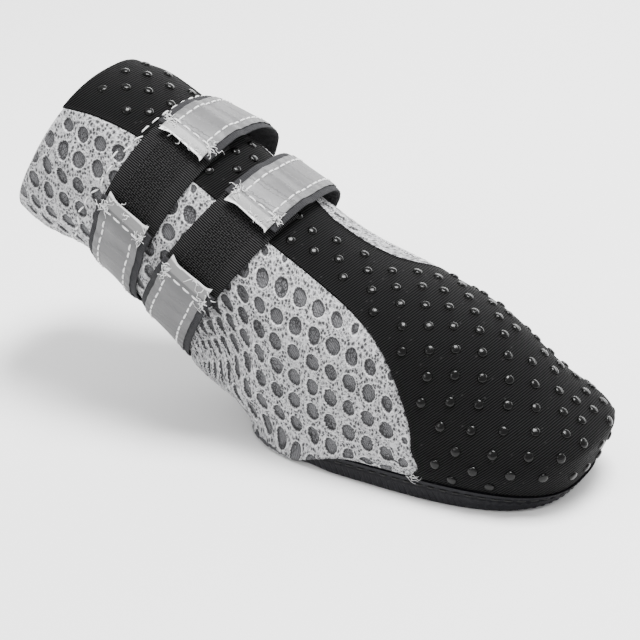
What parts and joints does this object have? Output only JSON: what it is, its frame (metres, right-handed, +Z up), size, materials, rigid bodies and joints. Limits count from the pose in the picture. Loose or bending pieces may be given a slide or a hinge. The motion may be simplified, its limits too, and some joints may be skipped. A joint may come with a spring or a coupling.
{
  "type": "dog boot",
  "caption": "Dog boot with a moulded rubber sole, a hollow mesh upper with a dotted front panel, a tall soft shaft and hook and loop straps with reflective tape.",
  "frame": {"origin": "on the ground plane under the ball of the foot, on the sole's middle line, at the middle of a flat tread lug", "axes": "+X points to the toe, +Y to the wearer's left, +Z up; the shaft leans back towards -X"},
  "size_m": [0.1834, 0.067, 0.0953],
  "materials": {
    "moulded_rubber": "satin moulded rubber",
    "air_mesh": "silver grey knitted air mesh",
    "dotted_twill": "black twill with raised glossy grip dots",
    "loop_webbing": "matt brushed loop webbing",
    "hook_webbing": "black hook webbing with ribbed edges",
    "reflective_tape": "silver grey reflective tape",
    "insole_foam": "dark cloth-faced foam"
  },
  "bodies": {
    "root": {"outsole": "moulded_rubber", "insole": "insole_foam", "upper": "air_mesh", "front_panel": "dotted_twill", "strap_upper": "loop_webbing", "strap_lower": "loop_webbing", "tape_upper": "reflective_tape", "tape_lower": "reflective_tape", "hook_pad_upper": "hook_webbing", "hook_pad_lower": "hook_webbing"}
  },
  "joints": []
}
